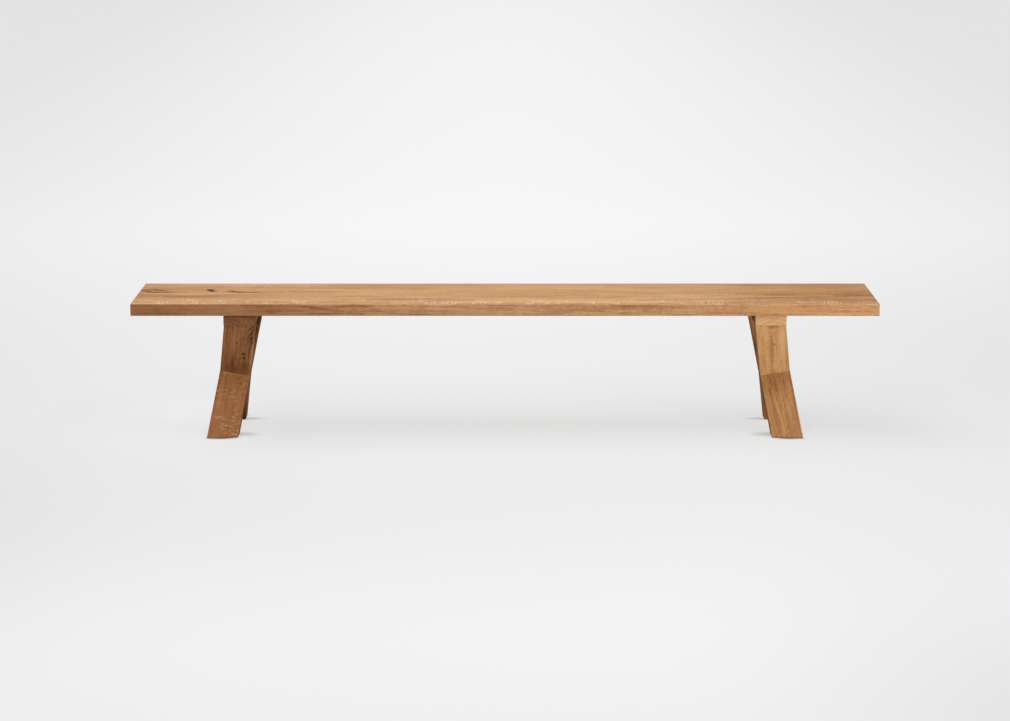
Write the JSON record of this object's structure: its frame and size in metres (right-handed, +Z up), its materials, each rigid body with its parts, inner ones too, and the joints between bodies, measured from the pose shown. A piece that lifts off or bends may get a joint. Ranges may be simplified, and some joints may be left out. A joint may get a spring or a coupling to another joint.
{
  "type": "dining bench",
  "caption": "Long solid oak dining bench: a flat plank seat on leaning X-shaped trestles, each of crossed boards halved together under a rail.",
  "frame": {"origin": "on the floor, under the middle of the seat", "axes": "+X along the seat, +Y from the front edge to the back edge, +Z up"},
  "size_m": [2.5, 0.4, 0.463],
  "materials": {
    "seat_oak": "oiled solid oak, sanded, with knots and drying checks",
    "rail_oak": "oiled solid oak, sanded",
    "board_oak": "oiled solid oak, sanded, with small knots",
    "dowel_beech": "raw beech",
    "bolt_steel": "zinc plated",
    "washer_steel": "zinc plated",
    "insert_steel": "yellow zinc plated"
  },
  "bodies": {
    "root": {"seat_stave_1": "seat_oak", "seat_stave_2": "seat_oak", "seat_stave_3": "seat_oak", "seat_stave_4": "seat_oak", "left_rail": "rail_oak", "right_rail": "rail_oak", "left_board_front_foot": "board_oak", "left_board_rear_foot": "board_oak", "right_board_front_foot": "board_oak", "right_board_rear_foot": "board_oak", "left_dowel_a1": "dowel_beech", "left_dowel_a2": "dowel_beech", "left_dowel_b1": "dowel_beech", "left_dowel_b2": "dowel_beech", "right_dowel_a1": "dowel_beech", "right_dowel_a2": "dowel_beech", "right_dowel_b1": "dowel_beech", "right_dowel_b2": "dowel_beech", "left_bolt_1": "bolt_steel", "left_bolt_2": "bolt_steel", "left_bolt_3": "bolt_steel", "left_bolt_4": "bolt_steel", "right_bolt_1": "bolt_steel", "right_bolt_2": "bolt_steel", "right_bolt_3": "bolt_steel", "right_bolt_4": "bolt_steel", "left_washer_1": "washer_steel", "left_washer_2": "washer_steel", "left_washer_3": "washer_steel", "left_washer_4": "washer_steel", "right_washer_1": "washer_steel", "right_washer_2": "washer_steel", "right_washer_3": "washer_steel", "right_washer_4": "washer_steel", "left_insert_1": "insert_steel", "left_insert_2": "insert_steel", "left_insert_3": "insert_steel", "left_insert_4": "insert_steel", "right_insert_1": "insert_steel", "right_insert_2": "insert_steel", "right_insert_3": "insert_steel", "right_insert_4": "insert_steel"}
  },
  "joints": []
}
